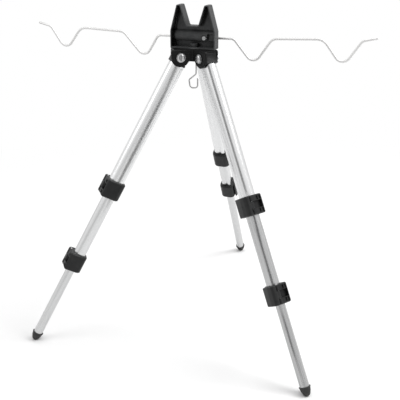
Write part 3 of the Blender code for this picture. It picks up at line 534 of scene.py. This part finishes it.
def wire(name, line, start, thickness, material, mirror=1):
    """Round wire along a flat line, in the plane that faces the front and goes through start."""
    curve = bpy.data.curves.new(name, "CURVE")
    curve.dimensions = "3D"
    curve.bevel_depth = thickness
    curve.bevel_resolution = 5
    curve.use_fill_caps = True
    ease = thickness * TIP_LENGTH
    line = [line[0], line[0] + (line[1] - line[0]).normalized() * ease, *line[1:-1],
            line[-1] + (line[-2] - line[-1]).normalized() * ease, line[-1]]
    spline = curve.splines.new("POLY")
    spline.points.add(len(line) - 1)
    for point, place in zip(spline.points, line):
        point.co = (start.x + mirror * place.x, start.y, start.z + place.y, 1.0)
        point.radius = 1.0
    spline.points[0].radius = spline.points[-1].radius = TIP_RADIUS
    spline.use_smooth = True
    curve.materials.append(material)
    piece = bpy.data.objects.new(name, curve)
    bpy.context.scene.collection.objects.link(piece)
    return piece


print("wire tools ready")

# %% [markdown]
# ## The two arms
# Each arm starts inside the plate's bar, comes out to the side, and has two dips for two rods. The
# two are made on the same bending jig but not in quite the same place along the wire, which the
# inner dip shows. An arm turns about its own straight end, so its joint gives the start of the
# path. The corners and bends are in millimetres, outwards and upwards from there.

# %% Bend the arms
ARM_WIRE = 1.5 * MM
ARM_LINE = (
    (7.0, 0.0), (50.0, 0.3), (72.4, -30.6), (98.7, 2.5),
    (159.8, 5.0), (184.0, -26.7), (205.0, 4.9), (222.5, 9.2),
)
ARM_BENDS = (8.0, 9.7, 11.0, 15.0, 9.7, 8.0)
INNER_DIP = 2
INNER_DIP_SHIFT = {"left": -3.4, "right": 3.4}

for side, mirror in (("right", 1), ("left", -1)):
    corners = [Vector(corner) * MM for corner in ARM_LINE]
    corners[INNER_DIP].x += INNER_DIP_SHIFT[side] * MM
    line = bent_line(corners, [bend * MM for bend in ARM_BENDS])
    arm = wire(f"wire_arm_{side}", line, pivot(f"arm_turn_{side}"), ARM_WIRE, arm_nickel, mirror)
    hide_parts(f"arm_{side}")
    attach(arm, f"arm_{side}")
    print(arm.name, "points:", len(line))

# %% [markdown]
# ## The hook
# A weight or a bag hangs from this hook to keep the rest steady in wind. Its top is a loop round
# the eye, its shank leans over to one side, and its bottom is a rounded bow that is open at the
# top. The same wire tool bends it, with the loop as an arc of points before the straight run. The
# loop hangs inside the eye's ring with a little play between the two wires.

# %% Bend the hook
HOOK_WIRE = 0.9 * MM
EYE_WIRE = 0.9 * MM
EYE_RING = 3.0 * MM
PLAY = 0.3 * MM
HOOK_LOOP = 2.4 * MM
LOOP_DROP = EYE_WIRE + PLAY + HOOK_WIRE - HOOK_LOOP
LOOP_FROM = 300
LOOP_TURN = 280
LOOP_STEPS = 24
HOOK_LINE = ((2.4, -19.6), (-7.2, -27.4), (-5.8, -38.2), (4.4, -37.0), (4.4, -25.0))
HOOK_BENDS = (3.0, 2.5, 4.5, 4.0)

loop = [Vector((HOOK_LOOP * cos(a), LOOP_DROP + HOOK_LOOP * sin(a)))
        for a in (radians(LOOP_FROM - LOOP_TURN * k / LOOP_STEPS) for k in range(LOOP_STEPS + 1))]
corners = [Vector((HOOK_LOOP, LOOP_DROP))] + [Vector(corner) * MM for corner in HOOK_LINE]
line = loop + bent_line(corners, [bend * MM for bend in HOOK_BENDS], 8.0)
hook = wire("wire_hook", line, pivot("hook_swing") - Vector((0, 0, EYE_RING)), HOOK_WIRE,
            hook_nickel)
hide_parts("weight_hook")
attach(hook, "hook")
print(hook.name, "points:", len(line))

# %% [markdown]
# ## Camera
# The camera stands at the photograph's angle: a little to the right of the front and above the
# head, looking down. Its place was fitted to the feet, locks and head of the real object in the
# picture. A lens is easiest to fit in pixels, and the sensor's width turns that into millimetres.

# %% Put the camera in place
FOCAL_PIXELS = 689.7
PICTURE = 400
CAMERA_PLACE = (0.2940, -0.8780, 0.5260)
CAMERA_AIM = Vector((0.0041, -0.0466, 0.1800))

camera_data = bpy.data.cameras.new("camera")
camera_data.sensor_width = 36.0
camera_data.lens = FOCAL_PIXELS / PICTURE * camera_data.sensor_width
camera_data.clip_start = 0.01
camera_data.clip_end = 200.0
camera = bpy.data.objects.new("camera", camera_data)
bpy.context.scene.collection.objects.link(camera)
camera.location = CAMERA_PLACE
camera.rotation_euler = (CAMERA_AIM - camera.location).to_track_quat("-Z", "Y").to_euler()
bpy.context.scene.camera = camera
print("lens:", round(camera_data.lens, 2), "mm")

# %% [markdown]
# ## Floor
# The object stands on white paper. Close to the object the paper is lit like any white sheet, so
# that it holds the soft shadows of the legs. Further out it turns into plain white for the camera,
# so that no edge or falloff shows. Light Path tells a camera ray from the rest.

# %% Lay the floor
HALF_FLOOR = 12.0
LIT_WITHIN = 0.40
PLAIN_BEYOND = 0.9
WHITE = (1, 1, 1, 1)


def paper():
    finish = Finish("white paper", Base_Color=tone(0.96), Roughness=0.9, Specular_IOR_Level=0.0)
    where = finish.place()
    away = finish.node("ShaderNodeVectorMath", {"operation": "LENGTH"}, {0: where}, "Value")
    far = away.band(LIT_WITHIN, PLAIN_BEYOND)
    seen = finish.node("ShaderNodeLightPath", output="Is Camera Ray")
    glow = finish.node("ShaderNodeEmission", None, {"Color": WHITE, "Strength": 1.0})
    lit = Signal(finish, finish.surface.outputs["BSDF"])
    mix = finish.node("ShaderNodeMixShader", None, {0: far * seen, 1: lit, 2: glow})
    finish.ends_with("Material Output", mix)
    return finish.material


sheet = bpy.data.meshes.new("floor")
corners = [(-HALF_FLOOR, -HALF_FLOOR, 0), (HALF_FLOOR, -HALF_FLOOR, 0),
           (HALF_FLOOR, HALF_FLOOR, 0), (-HALF_FLOOR, HALF_FLOOR, 0)]
sheet.from_pydata(corners, [], [(0, 1, 2, 3)])
sheet.materials.append(paper())
floor = bpy.data.objects.new("floor", sheet)
bpy.context.scene.collection.objects.link(floor)
print("floor:", 2 * HALF_FLOOR, "m wide")

# %% [markdown]
# ## The world
# Product pictures like this one are taken in a white tent, where light comes from everywhere. The
# world is plain white for the camera and for reflections, and a little weaker as a light, because
# the lamps add theirs. Light Path tells these rays apart too.

# %% A white tent
WORLD_LIGHT = 0.56

world = bpy.data.worlds.new("white tent")
bpy.context.scene.world = world
world.use_nodes = True
sky = Nodes(world.node_tree)
camera_ray = sky.node("ShaderNodeLightPath", output="Is Camera Ray")
glossy_ray = sky.node("ShaderNodeLightPath", output="Is Glossy Ray")
through_ray = sky.node("ShaderNodeLightPath", output="Is Transmission Ray")
seen = camera_ray + glossy_ray + through_ray
soft = sky.node("ShaderNodeBackground", None, {"Color": WHITE, "Strength": WORLD_LIGHT})
white = sky.node("ShaderNodeBackground", None, {"Color": WHITE, "Strength": 1.0})
mix = sky.node("ShaderNodeMixShader", None, {0: seen, 1: soft, 2: white})
sky.ends_with("World Output", mix)
print("world:", world.name, "with a light of", WORLD_LIGHT)

# %% [markdown]
# ## Lamps
# A large soft lamp on the right gives the faint shadows, a weaker one at the left front fills what
# that one misses, and a wide one overhead lifts the tops. Their places are easiest to think of as
# two angles and a distance from the middle of the object: the first angle goes round it, from the
# right over the back, and the second goes up from the level.

# %% Three soft lamps
MIDDLE = Vector((0.0, -0.05, 0.22))


def towards(azimuth, height):
    """The way that goes off at an angle round the object and an angle above the level."""
    a, h = radians(azimuth), radians(height)
    return Vector((cos(a) * cos(h), sin(a) * cos(h), sin(h)))


def around(azimuth, height, distance):
    """A place at such angles and a distance from the object's middle."""
    return MIDDLE + distance * towards(azimuth, height)


def lamp(name, place, size, watts):
    """A soft square lamp that faces the middle of the object."""
    data = bpy.data.lights.new(name, "AREA")
    data.shape = "SQUARE"
    data.size = size
    data.energy = watts
    made = bpy.data.objects.new(name, data)
    bpy.context.scene.collection.objects.link(made)
    made.location = place
    made.rotation_euler = (MIDDLE - place).to_track_quat("-Z", "Y").to_euler()


lamp("soft key", around(15, 50, 2.4), size=1.2, watts=32.0)
lamp("left front", around(-145, 34, 2.2), size=1.1, watts=6.5)
lamp("top", around(90, 80, 2.2), size=1.8, watts=13.0)

# %% [markdown]
# ## Cards
# Whatever is not white around the tent shows in the metal as a darker stripe. Cards that only
# reflections see stand for it: a strip along the left leg, three short ones along the sections of
# the right leg, and a wide one at the front that is only a little darker than the tent. A strip
# runs along its leg, so it is placed by lengths from the leg's pivot and not by a place in the
# room.

# %% Cards that only reflections see
def card(name, place, right, up, shade):
    """A flat card. It shines a little, so that its shade does not hang on the lamps."""
    mesh = bpy.data.meshes.new(name)
    mesh.from_pydata([-right - up, right - up, right + up, up - right], [], [(0, 1, 2, 3)])
    finish = Finish(name, Base_Color=tone(0.0), Specular_IOR_Level=0.0,
                    Emission_Color=tone(shade), Emission_Strength=1.0)
    mesh.materials.append(finish.material)
    made = bpy.data.objects.new(name, mesh)
    bpy.context.scene.collection.objects.link(made)
    made.location = place
    made.visible_camera = False
    made.visible_diffuse = False
    made.visible_shadow = False
    made.visible_transmission = False


def far_card(name, place, width, tall, shade):
    """A card that faces the middle of the object."""
    turn = (MIDDLE - place).to_track_quat("Z", "Y")
    card(name, place, turn @ Vector((width / 2, 0, 0)), turn @ Vector((0, tall / 2, 0)), shade)


def strip(name, leg, toward, distance, reach, width, shade):
    """A card along a leg, between two lengths below its pivot, which stands off to one side."""
    down = direction(f"middle_slide_{leg}")
    across = down.cross(toward).normalized()
    middle = pivot(f"fold_{leg}") + down * (reach[0] + reach[1]) / 2 + toward * distance
    card(name, middle, across * width / 2, down * (reach[1] - reach[0]) / 2, shade)


RIGHT_REACH = {"upper": (-0.03, 0.18), "middle": (0.225, 0.31), "lower": (0.345, 0.40)}

strip("beside the left leg", "left", towards(-40, -15), distance=0.25, reach=(0.035, 0.24),
      width=0.070, shade=0.10)
for section, reach in RIGHT_REACH.items():
    strip(f"before the right {section} tube", "right", towards(-97, 23), distance=0.06,
          reach=reach, width=0.036, shade=0.30)
far_card("dark front", around(-78, 3, 1.6), width=2.0, tall=0.65, shade=0.75)
bpy.context.scene.view_settings.view_transform = "Standard"
print("cards:", 2 + len(RIGHT_REACH))
